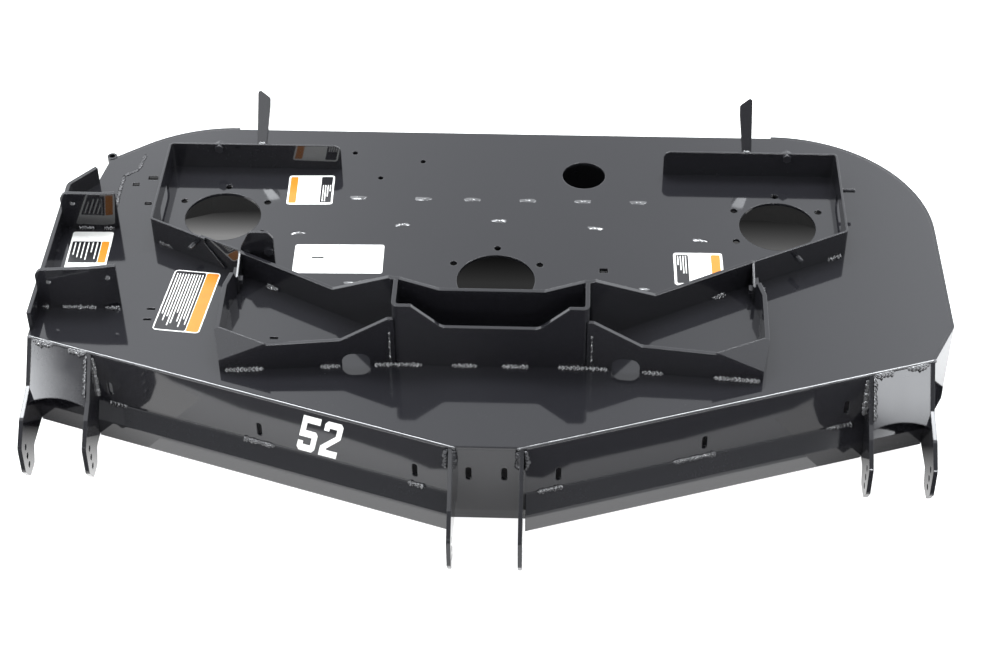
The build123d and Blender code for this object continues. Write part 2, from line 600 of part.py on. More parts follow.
def lift_tab(x):
    """Lift tab on the right, its inner edge at a given x on the back of the box wall."""
    foot = upright((x, tab_back_y), (x + TAB_WIDTH, tab_back_y), poly([
        (0.0, 0.0), (TAB_WIDTH, 0.0), (TAB_WIDTH, WALL_TOP), (0.0, WALL_TOP)]), TAB_T)
    plane = Plane(origin=(x, tab_back_y, WALL_TOP), x_dir=(1.0, 0.0, 0.0),
                  z_dir=(0.0, -math.cos(tab_lean), math.sin(tab_lean)))
    return biggest(foot + extrude(plane * tab_face, -TAB_T))


nodes["right_lift_tab"] = lift_tab(TAB_X["right"])
nodes["left_lift_tab"] = mirrored(lift_tab(TAB_X["left"]))

# outer lip and hinge plates of the discharge side
lip_x = LEFT_X + half_t
lip = bent([(-650.5, 224.6), (lip_x, 180.0), (lip_x, -134.0)], 12.0, BAR_T, 0.0, LIP_H)
nodes["discharge_lip"] = lip


def hinge_plate(front, bend_x, end_x, end_shift, left_h, right_h, extra):
    """Upright hinge plate across the deck with a rounded outer corner."""
    mid = front + half_t
    body = bent([(LEFT_X + BAR_T, mid), (bend_x, mid), (end_x, mid + end_shift)], 12.0, BAR_T, 0.0, 90.0)
    face = round_poly([(LEFT_X, 0.0), (-540.0, 0.0), (-540.0, right_h + 1.0), (end_x, right_h),
                       (LEFT_X + BAR_T, left_h), (LEFT_X + BAR_T, 0.5), (LEFT_X, 0.5)], {4: 12.0})
    body = body & side_prism(face, mid - 30.0, mid + 30.0)
    body -= rod((HINGE_X, mid - 20.0, HINGE_Z), (0, 1, 0), HINGE_HOLE_R, 40.0)
    for hx, hz in extra:
        body -= rod((hx, mid - 20.0, hz), (0, 1, 0), 4.2, 40.0)
    return body


nodes["rear_hinge_plate"] = hinge_plate(REAR_HINGE_Y, -620.0, -597.0, 2.4, 67.5, 67.0, [])
nodes["front_hinge_plate"] = hinge_plate(FRONT_HINGE_Y, -602.0, -562.0, 4.2, 70.0, 78.0, [(-575.5, 57.0)])

# studs on the box walls
stud_out = Vector(-behind.X, -behind.Y, 0.0)


def front_stud(x):
    """Stud standing out of the slanting front wall at a given x."""
    y = REAR_BOX_FRONT_Y + (REAR_BOX_OUT_X - x) * wall_dir.Y / -wall_dir.X
    return rod(Vector(x, y, 27.0) + stud_out * (BOX_T / 2), stud_out, STUD_R, STUD_LENGTH)


nodes["right_front_stud"] = front_stud(STUD_X["right"])
nodes["left_front_stud"] = mirrored(front_stud(STUD_X["left"]))
nodes["right_side_stud"] = rod((REAR_BOX_OUT_X + BOX_T / 2, 196.0, 34.0), (1, 0, 0), 3.5, 22.0)


def bolt(seat, direction, grip):
    """Bolt with its head in front of the seat and its shank through the grip and out past a nut."""
    d = Vector(*direction)
    head = hexagon(Vector(*seat) - d * HEAD_H, direction, HEX_ACROSS, HEAD_H)
    return head + rod(seat, direction, BOLT_R, grip + NUT_H + 3.5)


def nut(seat, direction):
    """Nut standing on the seat."""
    return hexagon(seat, direction, HEX_ACROSS, NUT_H) - rod(seat, direction, BOLT_R + NUT_GAP, NUT_H)


# bolts and nuts: rear box walls, end plates and anchor plate
rear_bolt = bolt((REAR_BOLT_X, REAR_BOX_Y, REAR_BOLT_Z), (0, 1, 0), BOX_T)
rear_nut = nut((REAR_BOLT_X, REAR_BOX_Y + BOX_T, REAR_BOLT_Z), (0, 1, 0))
end_bolt = bolt((FLANGE_X - BOX_T / 2, LAP_Y, LAP_Z), (1, 0, 0), BOX_T + BAR_T)
end_nut = nut((FLANGE_X + BOX_T / 2 + BAR_T, LAP_Y, LAP_Z), (1, 0, 0))
pairs = {"rear_bolt": rear_bolt, "rear_nut": rear_nut, "end_bolt": end_bolt, "end_nut": end_nut}
for label, shape in pairs.items():
    nodes["right_" + label] = shape
    nodes["left_" + label] = mirrored(shape)
for i, (bx, bz) in enumerate(anchor_bolts):
    nodes["anchor_bolt_%d" % (i + 1)] = bolt((bx, 11.0, bz), (0, 1, 0), SHELL_T)

for name, shape in nodes.items():
    solids = shape.solids()
    if len(solids) != 1:
        print("node", name, "has", len(solids), "solids")
    body = solids[0] if len(solids) == 1 else shape
    body.label = name
    export_step(body, os.path.join("parts", name + ".step"))
print(len(nodes), "nodes written")
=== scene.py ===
"""Gloss black cutting deck shell of a ride-on mower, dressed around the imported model.

Frame: metres, X across the deck, Y to the rear, Z up; the origin is the centre spindle axis on the top plate.
Shapes below are worked out in millimetres in the same frame and put into the meshes in metres.
"""
import math

import bpy
import numpy as np
from mathutils import Matrix


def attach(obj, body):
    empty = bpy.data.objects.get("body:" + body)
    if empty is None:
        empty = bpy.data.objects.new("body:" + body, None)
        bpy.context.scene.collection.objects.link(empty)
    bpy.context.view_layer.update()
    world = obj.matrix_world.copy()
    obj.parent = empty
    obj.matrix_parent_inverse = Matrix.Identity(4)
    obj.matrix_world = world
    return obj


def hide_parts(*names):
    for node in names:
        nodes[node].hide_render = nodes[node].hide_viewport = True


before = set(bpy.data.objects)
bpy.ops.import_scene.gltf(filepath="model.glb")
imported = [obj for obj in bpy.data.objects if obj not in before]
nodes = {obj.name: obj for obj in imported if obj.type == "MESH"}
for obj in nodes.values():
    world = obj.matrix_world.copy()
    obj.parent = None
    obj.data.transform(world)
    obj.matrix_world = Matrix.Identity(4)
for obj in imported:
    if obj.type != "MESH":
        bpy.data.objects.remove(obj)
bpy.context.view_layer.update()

MM = 0.001
SIDES = (("left", -1.0), ("right", 1.0))
UP = np.array([0.0, 0.0, 1.0])
FORWARD = np.array([0.0, -1.0, 0.0])

# sizes shared with the solids, in millimetres
BAR_T = 6.35
BOX_T = 3.42
FRONT_APEX_Y = -381.5
FRONT_SLOPE = 0.3356
NOSE_TOP = -92.0
NOSE_RUN = (22.0, -20.5)
ARCH_TOP = -2.0
ARCH_RUN = (48.0, -50.0)
ARCH_ENDS = {"left": (588.825 + BAR_T, 683.65), "right": (556.175, 641.825)}
BOX_HALF = 142.0
BOX_FRONT_Y = -195.8
WING_START = (139.0, -195.6)
WING_END = (394.0, -216.6)
ARM_POINT = (145.0, -136.0)
ARM_SLOPE = 0.555
REAR_BOX_CORNER = (537.0, 80.0)
REAR_BOX_BEND = (389.0, 1.5)
REAR_BOX_BACK_Y = 274.5 + BOX_T
WALL_TOP = 45.0
TAB_LEAN = 39.0
TAB_SPANS = ((-394.5, -382.5), (387.5, 399.5))
REAR_RIB_Y = 199.0
REAR_RIB_TABS = (-228.0, -124.0, -45.0, 44.0, 132.0, 220.0)
FRONT_RIB_TABS = ((-315.0, 105.4, 8.8), (-152.0, 130.6, 8.8), (0.0, 145.0, 0.0), (152.0, 130.6, -8.8),
                  (315.0, 105.4, -8.8))
BRACKET_X = {
    "left_outer": -686.825, "left_inner": -592.0, "centre_left": -50.0,
    "centre_right": 50.0, "right_inner": 553.0, "right_outer": 645.0,
}
REAR_HINGE_Y = 108.0
FRONT_HINGE_Y = -82.6
EAR_FOOT_Z = -165.0


# camera, fitted to the photograph

CAMERA_AT = np.array([103.84, -2440.24, 2049.69])
CAMERA_YAW = math.radians(-2.297)
CAMERA_PITCH = math.radians(41.469)
CAMERA_ROLL = math.radians(-0.370)
IMAGE_WIDTH = 1000.0
FOCAL_PIXELS = 2086.75
SENSOR = 36.0


def make_camera():
    """Camera whose axes are right, up and back, turned by yaw, then pitch, then roll."""
    ahead = np.array([
        math.sin(CAMERA_YAW) * math.cos(CAMERA_PITCH),
        math.cos(CAMERA_YAW) * math.cos(CAMERA_PITCH),
        -math.sin(CAMERA_PITCH)])
    level = np.array([math.cos(CAMERA_YAW), -math.sin(CAMERA_YAW), 0.0])
    above = np.cross(level, ahead)
    right = math.cos(CAMERA_ROLL) * level + math.sin(CAMERA_ROLL) * above
    up = -math.sin(CAMERA_ROLL) * level + math.cos(CAMERA_ROLL) * above
    place = np.eye(4)
    place[:3, 0] = right
    place[:3, 1] = up
    place[:3, 2] = -ahead
    place[:3, 3] = CAMERA_AT * MM
    data = bpy.data.cameras.new("camera")
    data.sensor_fit = "HORIZONTAL"
    data.sensor_width = SENSOR
    data.lens = FOCAL_PIXELS * SENSOR / IMAGE_WIDTH
    camera = bpy.data.objects.new("camera", data)
    camera.matrix_world = Matrix(place.tolist())
    bpy.context.scene.collection.objects.link(camera)
    bpy.context.scene.camera = camera


# materials, with the sizes of their patterns in millimetres

WAVE_MM = 160.0
HAZE_MM = 90.0
SPECK_MM = 3.5
MOTTLE_MM = 14.0
FILM_GRAIN_MM = 5.0
FIBRE_MM = 8.0
PAINT_DUST = "#505052"


def linear(code, alpha=1.0):
    """sRGB hex colour as linear numbers: the standard curve, channel by channel."""
    channels = [int(code[i:i + 2], 16) / 255.0 for i in (1, 3, 5)]
    curve = [c / 12.92 if c <= 0.04045 else ((c + 0.055) / 1.055) ** 2.4 for c in channels]
    return (*curve, alpha)


def add(tree, kind, settings=None, inputs=None):
    """Add a node: settings are its properties, inputs are values or the sockets that feed it."""
    node = tree.nodes.new(kind)
    for key, value in (settings or {}).items():
        setattr(node, key, value)
    for key, value in (inputs or {}).items():
        socket = node.inputs[key]
        if isinstance(value, bpy.types.NodeSocket):
            tree.links.new(value, socket)
        else:
            socket.default_value = value
    return node


def new_material(name):
    """Empty node material and its tree."""
    material = bpy.data.materials.new(name)
    material.use_nodes = True
    material.node_tree.nodes.clear()
    return material, material.node_tree


def powder_coat(name, colour, dust, peel_mm, peel_um, wave_um, edge_mm, ior=1.52):
    """Gloss polyester powder coat, sprayed and baked on steel.

    To the eye: a deep, nearly mirror-like skin with orange peel, slow waves of the sheet below it, a soft
    round on every cut edge, and a trace of dust that greys it where it lies. On weld the coat is thin over
    bright, rippled metal, so it glints more strongly, which a higher ior stands for.
    """
    material, tree = new_material(name)
    place = add(tree, "ShaderNodeTexCoord").outputs["Object"]
    # orange peel is about 2 mm across; it is drawn coarser here so that it shows at this distance
    peel = add(tree, "ShaderNodeTexNoise", None, {
        "Vector": place, "Scale": 1000.0 / peel_mm, "Detail": 1.0, "Roughness": 0.4}).outputs["Fac"]
    wave = add(tree, "ShaderNodeTexNoise", None, {
        "Vector": place, "Scale": 1000.0 / WAVE_MM, "Detail": 0.0}).outputs["Fac"]
    haze = add(tree, "ShaderNodeTexNoise", None, {
        "Vector": place, "Scale": 1000.0 / HAZE_MM, "Detail": 4.0, "Roughness": 0.6}).outputs["Fac"]
    speck = add(tree, "ShaderNodeTexNoise", None, {
        "Vector": place, "Scale": 1000.0 / SPECK_MM, "Detail": 2.0, "Roughness": 0.7}).outputs["Fac"]
    dusty = add(tree, "ShaderNodeMapRange", None, {
        "Value": haze, "From Min": 0.45, "From Max": 0.75, "To Min": 0.0, "To Max": 0.35}).outputs["Result"]
    speckled = add(tree, "ShaderNodeMapRange", None, {
        "Value": speck, "From Min": 0.62, "From Max": 0.80, "To Min": 0.0, "To Max": 1.0}).outputs["Result"]
    amount = add(tree, "ShaderNodeMath", {"operation": "MULTIPLY"}, {0: dusty, 1: speckled}).outputs[0]
    skin = add(tree, "ShaderNodeMix", {"data_type": "RGBA"}, {
        0: amount, 6: linear(colour), 7: linear(dust)}).outputs[2]
    sheen = add(tree, "ShaderNodeMapRange", None, {
        "Value": haze, "From Min": 0.3, "From Max": 0.7, "To Min": 0.055, "To Max": 0.085}).outputs["Result"]
    edge = add(tree, "ShaderNodeBevel", {"samples": 4}, {"Radius": edge_mm * MM}).outputs["Normal"]
    slow = add(tree, "ShaderNodeBump", None, {
        "Strength": 1.0, "Distance": wave_um * 1e-6, "Height": wave, "Normal": edge}).outputs["Normal"]
    relief = add(tree, "ShaderNodeBump", None, {
        "Strength": 1.0, "Distance": peel_um * 1e-6, "Height": peel, "Normal": slow}).outputs["Normal"]
    paint = add(tree, "ShaderNodeBsdfPrincipled", None, {
        "Base Color": skin, "Roughness": sheen, "IOR": ior, "Normal": relief})
    add(tree, "ShaderNodeOutputMaterial", None, {"Surface": paint.outputs[0]})
    return material


def vinyl(name, colour, worn, gloss):
    """Printed vinyl film with a clear laminate: smooth, a little less glossy than paint, faintly mottled."""
    material, tree = new_material(name)
    place = add(tree, "ShaderNodeTexCoord").outputs["Object"]
    mottle = add(tree, "ShaderNodeTexNoise", None, {
        "Vector": place, "Scale": 1000.0 / MOTTLE_MM, "Detail": 3.0}).outputs["Fac"]
    amount = add(tree, "ShaderNodeMapRange", None, {
        "Value": mottle, "From Min": 0.35, "From Max": 0.75, "To Min": 0.0, "To Max": 0.5}).outputs["Result"]
    ink = add(tree, "ShaderNodeMix", {"data_type": "RGBA"}, {
        0: amount, 6: linear(colour), 7: linear(worn)}).outputs[2]
    fine = add(tree, "ShaderNodeTexNoise", None, {
        "Vector": place, "Scale": 1000.0 / FILM_GRAIN_MM, "Detail": 1.0}).outputs["Fac"]
    relief = add(tree, "ShaderNodeBump", None, {
        "Strength": 1.0, "Distance": 6e-6, "Height": fine}).outputs["Normal"]
    film = add(tree, "ShaderNodeBsdfPrincipled", None, {
        "Base Color": ink, "Roughness": gloss, "IOR": 1.49, "Normal": relief})
    add(tree, "ShaderNodeOutputMaterial", None, {"Surface": film.outputs[0]})
    return material


def studio_paper(name, colour, shine):
    """Matt studio paper with a fine, barely visible fibre, lit through from behind by a given amount.

    On the floor this is an even glow; on the sheets that only the gloss sees it is a painted reflection, and
    on the dark card a painted shade.
    """
    material, tree = new_material(name)
    place = add(tree, "ShaderNodeTexCoord").outputs["Object"]
    fibre = add(tree, "ShaderNodeTexNoise", None, {
        "Vector": place, "Scale": 1000.0 / FIBRE_MM, "Detail": 4.0}).outputs["Fac"]
    relief = add(tree, "ShaderNodeBump", None, {
        "Strength": 0.2, "Distance": 2e-5, "Height": fibre}).outputs["Normal"]
    paper = add(tree, "ShaderNodeBsdfPrincipled", None, {
        "Base Color": linear(colour), "Roughness": 0.9, "Normal": relief,
        "Emission Color": (1.0, 1.0, 1.0, 1.0), "Emission Strength": shine})
    add(tree, "ShaderNodeOutputMaterial", None, {"Surface": paper.outputs[0]})
    return material


def fading_paper(name, dark_y, bright_y, radiance, power):
    """Glowing sheet of painted floor shade, its light growing from one depth to another as a power of the
    share of the way.
    """
    material, tree = new_material(name)
    place = add(tree, "ShaderNodeTexCoord").outputs["Object"]
    depth = add(tree, "ShaderNodeSeparateXYZ", None, {0: place}).outputs["Y"]
    share = add(tree, "ShaderNodeMapRange", None, {
        "Value": depth, "From Min": dark_y, "From Max": bright_y, "To Min": 0.0, "To Max": 1.0})
    curve = add(tree, "ShaderNodeMath", {"operation": "POWER"}, {0: share.outputs["Result"], 1: power})
    strength = add(tree, "ShaderNodeMath", {"operation": "MULTIPLY"}, {0: curve.outputs[0], 1: radiance})
    light = add(tree, "ShaderNodeEmission", None, {"Strength": strength.outputs[0]})
    add(tree, "ShaderNodeOutputMaterial", None, {"Surface": light.outputs[0]})
    return material


coat_sheet = powder_coat("powder_coat_on_sheet", "#1e1e21", PAINT_DUST,
                         peel_mm=5.0, peel_um=2.0, wave_um=60.0, edge_mm=1.8)
coat_bar = powder_coat("powder_coat_on_bar", "#1b1b1e", "#4c4c4e",
                       peel_mm=4.0, peel_um=2.5, wave_um=20.0, edge_mm=1.6)
coat_weld = powder_coat("powder_coat_on_weld", "#1e1e21", PAINT_DUST,
                        peel_mm=3.0, peel_um=30.0, wave_um=10.0, edge_mm=0.3, ior=2.3)
coat_seam = powder_coat("powder_coat_on_seam", "#1e1e21", PAINT_DUST,
                        peel_mm=5.0, peel_um=2.0, wave_um=20.0, edge_mm=0.3, ior=2.1)
coat_fastener = powder_coat("powder_coat_on_fastener", "#252528", PAINT_DUST,
                            peel_mm=3.0, peel_um=2.0, wave_um=5.0, edge_mm=0.4)
white_film = vinyl("white_vinyl_film", "#f4f4f0", "#e6e6e1", 0.28)
black_film = vinyl("black_vinyl_print", "#1a1a1c", "#242427", 0.22)
orange_film = vinyl("orange_vinyl_print", "#cf7f22", "#c4761d", 0.25)
grey_film = vinyl("grey_vinyl_print", "#8d8f92", "#84868a", 0.28)

BAR_WORDS = ("bracket", "hinge", "lip", "box_front", "box_rear", "wing", "end_plate", "tab")
FASTENER_WORDS = ("bolt", "nut", "stud")


def paint_nodes():
    """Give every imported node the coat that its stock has: fastener, bar or sheet."""
    for name, node in nodes.items():
        coat = coat_sheet
        if any(word in name for word in BAR_WORDS):
            coat = coat_bar
        if any(word in name for word in FASTENER_WORDS):
            coat = coat_fastener
        node.data.materials.clear()
        node.data.materials.append(coat)


# mesh helpers

def make_piece(name, points, faces, materials, face_materials=None, smooth=True):
    """Object at the origin from points in millimetres and lists of corners; it rides on the deck."""
    mesh = bpy.data.meshes.new(name)
    mesh.from_pydata((np.asarray(points) * MM).tolist(), [], faces)
    for material in materials:
        mesh.materials.append(material)
    if face_materials is not None:
        mesh.polygons.foreach_set("material_index", np.asarray(face_materials, dtype=np.int32))
    mesh.polygons.foreach_set("use_smooth", np.full(len(mesh.polygons), smooth))
    mesh.update()
    piece = bpy.data.objects.new(name, mesh)
    bpy.context.scene.collection.objects.link(piece)
    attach(piece, "root")
    return piece


def tube_faces(skin, rows, columns, offset):
    """Quads and the two end caps of a tube of rows by columns, turned so that all of them look outwards.

    They do when the pyramids from the middle of the points to the quads have a positive volume in sum.
    """
    i, j = np.meshgrid(np.arange(rows - 1), np.arange(columns), indexing="ij")
    k = (j + 1) % columns
    ring = i * columns
    quads = np.stack([ring + j, ring + columns + j, ring + columns + k, ring + k], axis=-1).reshape(-1, 4)
    corner = (skin - skin.mean(axis=0))[quads]
    volume = np.sum(corner[:, 0] * np.cross(corner[:, 1], corner[:, 2]))
    volume += np.sum(corner[:, 0] * np.cross(corner[:, 2], corner[:, 3]))
    turn = 1 if volume > 0.0 else -1
    first = np.arange(columns) + offset
    last = first[::-1] + (rows - 1) * columns
    return (quads + offset)[:, ::turn].tolist() + [first[::turn].tolist(), last[::turn].tolist()]


def unit(vector):
    """Vector of length one along the given one."""
    vector = np.asarray(vector, dtype=float)
    return vector / np.linalg.norm(vector)


def full_turn(count):
    """Evenly spaced angles round a ring, as a row."""
    return np.linspace(0.0, 2.0 * math.pi, count, endpoint=False)[None, :]


def front_wall(x, z):
    """Point on the outer face of the front skirt's slopes."""
    return np.array([x, FRONT_APEX_Y + FRONT_SLOPE * abs(x), z])


def front_out(x):
    """Level direction straight out of the front skirt at a given x."""
    return unit([math.copysign(FRONT_SLOPE, x), -1.0, 0.0])


# weld beads, in millimetres or shares of the leg

BEAD_LEG = 5.4
BEAD_PITCH = 5.6
BEAD_RING = 10
BEAD_ROWS = 7
BEAD_END_ROWS = 9
BEAD_END_ROUND = 0.9
BEAD_BASE = 0.74
BEAD_RIPPLE = 0.42
BEAD_CRESCENT = 0.45
BEAD_BULGE = 0.30
BEAD_SUNK = 0.5
BEAD_SWELL = (0.17, 23.0)
BEAD_LUMP = (0.11, 9.1)
BEAD_LUMP_SHIFT = 2.7
BEAD_LUMP_SLANT = 0.3
BEAD_SHIFT = 0.37


def bead(start, end, rise, run, leg, tall, seed):
    """Stitch of fillet weld in the corner line from start to end.

    The section goes from the corner up the rise by a share of the leg, over a bulging arc, and back along the
    run to the corner, which is sunk a little. Along the stitch the leg ripples once a pitch, the ripples are
    bowed like crescents, slow sines make it uneven, and both ends close in a round.
    """
    start = np.asarray(start, dtype=float)
    end = np.asarray(end, dtype=float)
    length = np.linalg.norm(end - start)
    rows = int(length / BEAD_PITCH * BEAD_ROWS) + BEAD_END_ROWS
    s = np.linspace(0.0, 1.0, rows)[:, None]
    t = np.linspace(0.0, 1.0, BEAD_RING - 1)[None, :]
    bow = 1.0 - (2.0 * t - 1.0) ** 2
    phase = s * length / BEAD_PITCH - BEAD_CRESCENT * bow + seed
    ripple = BEAD_RIPPLE * np.abs(np.sin(math.pi * phase))
    swell = BEAD_SWELL[0] * np.sin(2.0 * math.pi * (s * length / BEAD_SWELL[1] + seed))
    drift = BEAD_LUMP_SHIFT * seed + BEAD_LUMP_SLANT * t
    lump = BEAD_LUMP[0] * np.sin(2.0 * math.pi * (s * length / BEAD_LUMP[1] + drift))
    closing = np.clip(1.0 - np.abs(2.0 * s - 1.0) ** (length / leg * BEAD_END_ROUND), 0.0, 1.0) ** 0.5
    size = leg * closing * (BEAD_BASE + ripple + swell + lump)
    rise = unit(rise)
    run = unit(run)
    out = unit(rise + run)
    corner = start + s * (end - start)
    section = tall * (1.0 - t)[..., None] * rise + t[..., None] * run + BEAD_BULGE * bow[..., None] * out
    skin = corner[:, None, :] + size[..., None] * section
    root = corner - BEAD_SUNK * out
    ring = np.concatenate([skin, root[:, None, :]], axis=1)
    return ring.reshape(-1, 3), rows


def make_beads(name, stitches, coat=coat_weld):
    """One piece from stitches: start, end, rise, run and perhaps a leg and the share of it up the rise."""
    points = []
    faces = []
    count = 0
    for index, stitch in enumerate(stitches):
        leg = stitch[4] if len(stitch) > 4 else BEAD_LEG
        tall = stitch[5] if len(stitch) > 5 else 1.0
        ring, rows = bead(*stitch[:4], leg, tall, BEAD_SHIFT * index)
        faces += tube_faces(ring, rows, BEAD_RING, count)
        points.append(ring)
        count += len(ring)
    make_piece(name, np.concatenate(points), faces, [coat])


# spans of the stitches along the nose strips, and the legs and the rise of a stitch and of its blob
NOSE_STITCHES = {"left": [(-567.0, -543.0), (-357.0, -313.0), (-109.0, -87.0)],
                 "right": [(71.0, 104.0), (266.0, 325.0), (494.0, 531.0)]}
NOSE_LEG = 4.8
NOSE_BLOB_LEG = 6.5
NOSE_BLOB_HALF = 5.0
NOSE_TALL = 0.7


def front_welds():
    """Stitches along the upper edge of the nose strips, each with a blob at its outer end."""
    for side, spans in NOSE_STITCHES.items():
        rows = []
        for x0, x1 in spans:
            slope = front_out(x0) * NOSE_RUN[0] + UP * NOSE_RUN[1]
            rows.append((front_wall(x0, NOSE_TOP), front_wall(x1, NOSE_TOP), UP, slope, NOSE_LEG, NOSE_TALL))
            head = x0 if side == "left" else x1
            before = front_wall(head - NOSE_BLOB_HALF, NOSE_TOP)
            after = front_wall(head + NOSE_BLOB_HALF, NOSE_TOP)
            rows.append((before, after, UP, slope, NOSE_BLOB_LEG, NOSE_TALL))
        make_beads("welds_front_" + side, rows)


# spans of the stitches of the belt-side walls, along each wall, and the upright bead between box and wing
BOX_STITCHES = [(-143.0, -100.0), (-58.0, -18.0), (15.0, 56.0), (97.0, 143.0)]
WING_STITCHES = {"left": [(141.0, 171.0), (217.5, 249.0), (329.0, 386.0)],
                 "right": [(141.0, 172.0), (218.5, 252.0), (322.0, 391.0)]}
REAR_BOX_STITCH = (7.0, 33.0)
ARM_STITCH = (208.0, 234.0)
JOINT_OUT = 2.5
JOINT_BACK = 0.6
JOINT_FOOT = 6.0
JOINT_HEIGHT = 58.0
JOINT_LEG = 3.4


def wing_point(x, side):
    """Foot of a wing plate's front face at a given distance from the middle."""
    share = (x - WING_START[0]) / (WING_END[0] - WING_START[0])
    return np.array([side * x, WING_START[1] + share * (WING_END[1] - WING_START[1]), 0.0])


def box_welds():
    """Stitches at the foot of the centre box, the wings, the arms and the rear boxes."""
    rows = []
    for x0, x1 in BOX_STITCHES:
        rows.append(((x0, BOX_FRONT_Y, 0.0), (x1, BOX_FRONT_Y, 0.0), UP, FORWARD))
    make_beads("welds_box", rows)
    for label, side in SIDES:
        rows = []
        for x0, x1 in WING_STITCHES[label]:
            rows.append((wing_point(x0, side), wing_point(x1, side), UP, FORWARD))
        corner = np.array([side * REAR_BOX_CORNER[0], REAR_BOX_CORNER[1], 0.0])
        bend = np.array([side * REAR_BOX_BEND[0], REAR_BOX_BEND[1], 0.0])
        wall = unit(bend - corner)
        # the run points forward and to the right on both sides, square to the right wall only
        out = np.array([abs(wall[1]), -abs(wall[0]), 0.0])
        foot = corner + out * BOX_T / 2.0
        rows.append((foot + wall * REAR_BOX_STITCH[0], foot + wall * REAR_BOX_STITCH[1], UP, out))
        arm = unit([side, ARM_SLOPE, 0.0])
        arm_out = np.array([side * arm[1], -abs(arm[0]), 0.0])
        arm_foot = np.array([side * ARM_POINT[0], ARM_POINT[1], 0.0])
        rows.append((arm_foot + arm * ARM_STITCH[0], arm_foot + arm * ARM_STITCH[1], UP, arm_out))
        joint = np.array([side * (BOX_HALF + JOINT_OUT), WING_START[1] + JOINT_BACK, JOINT_FOOT])
        across = np.array([side, 0.0, 0.0])
        rows.append((joint, joint + UP * JOINT_HEIGHT, across, FORWARD, JOINT_LEG))
        make_beads("welds_belt_side_" + label, rows)


# heights and legs of the bracket stitches: on open faces, on faces behind an arch plate, and at the centre
OPEN_TOP = -8.0
OPEN_BOTTOMS = (-80.0, -88.0)
SHIELDED_SPAN = (-70.0, -90.0)
BRACKET_LEG = 4.6
CENTRE_SPAN = (-4.0, -42.0)
CENTRE_OUTER_LEG = 7.0
CENTRE_INNER_LEG = 5.5


def bracket_welds():
    """Upright stitches where the roller brackets meet the front skirt, but not on the outermost faces."""
    for name, x in BRACKET_X.items():
        centre = name.startswith("centre")
        rows = []
        for side, open_bottom in zip((-1.0, 1.0), OPEN_BOTTOMS):
            outer = side * x > 0.0
            if name.endswith("outer") and outer:
                continue
            shielded = name.endswith("outer") or (name.endswith("inner") and outer)
            away = np.array([side, side * math.copysign(FRONT_SLOPE, x), 0.0])
            top, bottom = SHIELDED_SPAN if shielded else (OPEN_TOP, open_bottom)
            leg = BRACKET_LEG
            if centre:
                away = np.array([side, 0.0, 0.0])
                top, bottom = CENTRE_SPAN
                leg = CENTRE_OUTER_LEG if outer else CENTRE_INNER_LEG
            face = x + side * BAR_T / 2.0
            rows.append((front_wall(face, top), front_wall(face, bottom), away, front_out(x), leg))
        make_beads("welds_bracket_" + name, rows, coat_sheet if centre else coat_weld)


# top stitches of the arch plates from their inner and outer ends, and the end bead as shares of the slope
ARCH_INNER_STITCH = (1.0, 30.0)
ARCH_OUTER_STITCH = (36.0, 2.0)
ARCH_TOP_LEG = 8.0
ARCH_TOP_TALL = 0.2
ARCH_END_SPAN = (0.06, 0.96)
ARCH_END_LEG = 5.0


def arch_welds():
    """Stitches along the top of the arch plates and down their inner ends."""
    for label, side in SIDES:
        x_in, x_out = ARCH_ENDS[label]
        out = front_out(side * x_in)
        slope = unit(out * ARCH_RUN[0] + UP * ARCH_RUN[1])
        face_up = unit(out * -ARCH_RUN[1] + UP * ARCH_RUN[0])
        down = np.cross(face_up, [1.0, 0.0, 0.0])
        down = down * ARCH_RUN[1] / down[2]
        rows = []
        for x0, x1 in [(x_in + ARCH_INNER_STITCH[0], x_in + ARCH_INNER_STITCH[1]),
                       (x_out - ARCH_OUTER_STITCH[0], x_out - ARCH_OUTER_STITCH[1])]:
            start = front_wall(side * x0, ARCH_TOP)
            end = front_wall(side * x1, ARCH_TOP)
            rows.append((start, end, UP, slope, ARCH_TOP_LEG, ARCH_TOP_TALL))
        edge = front_wall(side * x_in, ARCH_TOP)
        rise = np.array([0.0, face_up[1], face_up[2]])
        run = np.cross(down, face_up)
        run = run * math.copysign(1.0, run[0] * side)
        rows.append((edge + ARCH_END_SPAN[0] * down, edge + ARCH_END_SPAN[1] * down, rise, run, ARCH_END_LEG))
        make_beads("welds_arch_" + label, rows)


EDGE_SEAM_R = 2.7
EDGE_SEAM_SUNK = 1.7
EDGE_SEAM_X = 44.0
EDGE_SEAM_ENDS = {"left": 690.0, "right": 650.0}
EDGE_SEAM_RING = 20
EDGE_SEAM_ROWS = 160
EDGE_SEAM_WAVES = ((0.04, 11.0, 0.0), (0.03, 4.7, 1.0))


def edge_seam():
    """Dressed seam along the front edge: a rod sunk in the corner of the top plate and the front skirt.

    Its line runs at one depth inside both faces, and slow sines change its radius a little.
    """
    for label, side in SIDES:
        s = np.linspace(EDGE_SEAM_X, EDGE_SEAM_ENDS[label], EDGE_SEAM_ROWS)[:, None]
        angle = full_turn(EDGE_SEAM_RING)
        radius = EDGE_SEAM_R * (1.0 + sum(a * np.sin(s / b + c) for a, b, c in EDGE_SEAM_WAVES))
        out = front_out(side)
        line = np.stack([side * s, FRONT_APEX_Y + FRONT_SLOPE * s, 0.0 * s - EDGE_SEAM_SUNK], axis=-1)
        line = line - EDGE_SEAM_SUNK * out
        rod = line + (radius * np.cos(angle))[..., None] * out + (radius * np.sin(angle))[..., None] * UP
        rod = rod.reshape(-1, 3)
        faces = tube_faces(rod, EDGE_SEAM_ROWS, EDGE_SEAM_RING, 0)
        make_piece("edge_seam_" + label, rod, faces, [coat_seam])


PLATE_SEAM = [(-587.0, 302.0), (-592.0, 262.0), (-612.5, 245.0), (-613.0, 205.0), (-612.0, 160.0),
              (-611.2, 122.0)]
PLATE_SEAM_Z = -0.3
PLATE_SEAM_LEG = 3.2
PLATE_SEAM_LIFT = 0.1


